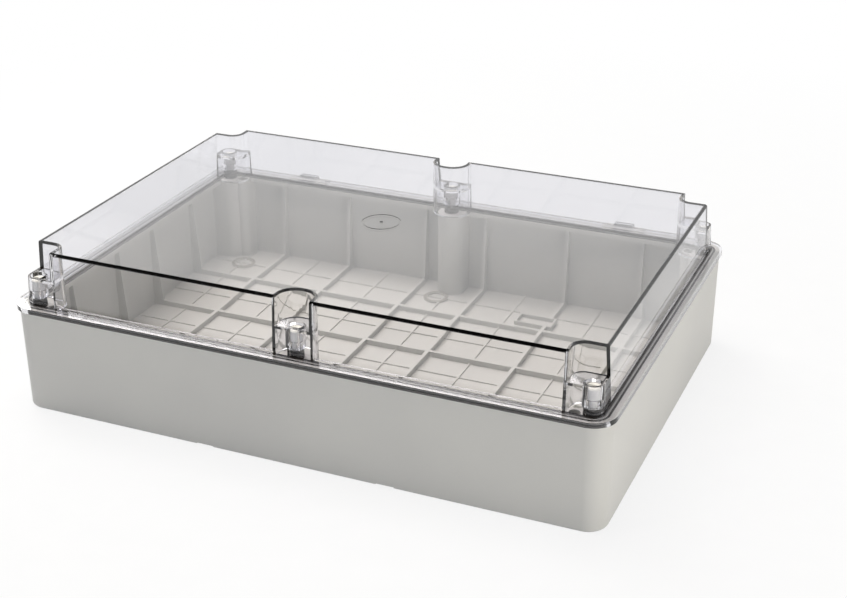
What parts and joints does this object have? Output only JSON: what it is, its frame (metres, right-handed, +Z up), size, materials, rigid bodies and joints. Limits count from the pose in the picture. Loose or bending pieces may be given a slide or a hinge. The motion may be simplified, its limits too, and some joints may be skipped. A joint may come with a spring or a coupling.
{
  "type": "hinged polycarbonate enclosure",
  "caption": "Wall-mounting electrical enclosure: a ribbed grey base with a deep clear lid that swings on rear hinges and closes with quarter-turn screws in moulded pockets.",
  "frame": {"origin": "middle of the four wall-fixing holes, in the plane of the underside", "axes": "+X along the long side towards the right of the front, +Y from the front towards the hinges, +Z up through the lid"},
  "size_m": [0.478, 0.3416, 0.132],
  "materials": {
    "base_plastic": "moulded light grey, fine satin skin",
    "clear_polycarbonate": "clear moulded polycarbonate, polished",
    "seal_foam": "closed-cell foam cord, matt grey",
    "hinge_plastic": "moulded light grey, satin",
    "hinge_steel": "bright drawn steel",
    "screw_plastic": "moulded off-white nylon",
    "ring_rubber": "black rubber",
    "socket_plastic": "moulded black nylon"
  },
  "bodies": {
    "base": {"base_shell": "base_plastic", "hinge_bracket_left": "hinge_plastic", "hinge_bracket_right": "hinge_plastic", "hinge_pin_left": "hinge_steel", "hinge_pin_right": "hinge_steel", "screw_socket_front_left": "socket_plastic", "screw_socket_front_middle": "socket_plastic", "screw_socket_front_right": "socket_plastic", "screw_socket_back_left": "socket_plastic", "screw_socket_back_middle": "socket_plastic", "screw_socket_back_right": "socket_plastic"},
    "lid": {"lid_shell": "clear_polycarbonate", "lid_seal": "seal_foam", "hinge_arm_left": "clear_polycarbonate", "hinge_arm_right": "clear_polycarbonate"},
    "screw_front_left": {"lid_screw_front_left": "screw_plastic", "screw_ring_front_left": "ring_rubber"},
    "screw_front_middle": {"lid_screw_front_middle": "screw_plastic", "screw_ring_front_middle": "ring_rubber"},
    "screw_front_right": {"lid_screw_front_right": "screw_plastic", "screw_ring_front_right": "ring_rubber"},
    "screw_back_left": {"lid_screw_back_left": "screw_plastic", "screw_ring_back_left": "ring_rubber"},
    "screw_back_middle": {"lid_screw_back_middle": "screw_plastic", "screw_ring_back_middle": "ring_rubber"},
    "screw_back_right": {"lid_screw_back_right": "screw_plastic", "screw_ring_back_right": "ring_rubber"}
  },
  "joints": [
    {"name": "lid_hinge", "type": "hinge", "parent": "base", "child": "lid", "pos_m": [0, 0.1715, 0.08], "axis": [-1, 0, 0], "range_deg": [0, 180]},
    {"name": "turn_front_left", "type": "hinge", "parent": "lid", "child": "screw_front_left", "pos_m": [-0.221, -0.147, 0.1], "axis": [0, 0, 1], "range_deg": [0, 90]},
    {"name": "turn_front_middle", "type": "hinge", "parent": "lid", "child": "screw_front_middle", "pos_m": [0, -0.147, 0.1], "axis": [0, 0, 1], "range_deg": [0, 90]},
    {"name": "turn_front_right", "type": "hinge", "parent": "lid", "child": "screw_front_right", "pos_m": [0.221, -0.147, 0.1], "axis": [0, 0, 1], "range_deg": [0, 90]},
    {"name": "turn_back_left", "type": "hinge", "parent": "lid", "child": "screw_back_left", "pos_m": [-0.221, 0.147, 0.1], "axis": [0, 0, 1], "range_deg": [0, 90]},
    {"name": "turn_back_middle", "type": "hinge", "parent": "lid", "child": "screw_back_middle", "pos_m": [0, 0.147, 0.1], "axis": [0, 0, 1], "range_deg": [0, 90]},
    {"name": "turn_back_right", "type": "hinge", "parent": "lid", "child": "screw_back_right", "pos_m": [0.221, 0.147, 0.1], "axis": [0, 0, 1], "range_deg": [0, 90]}
  ]
}
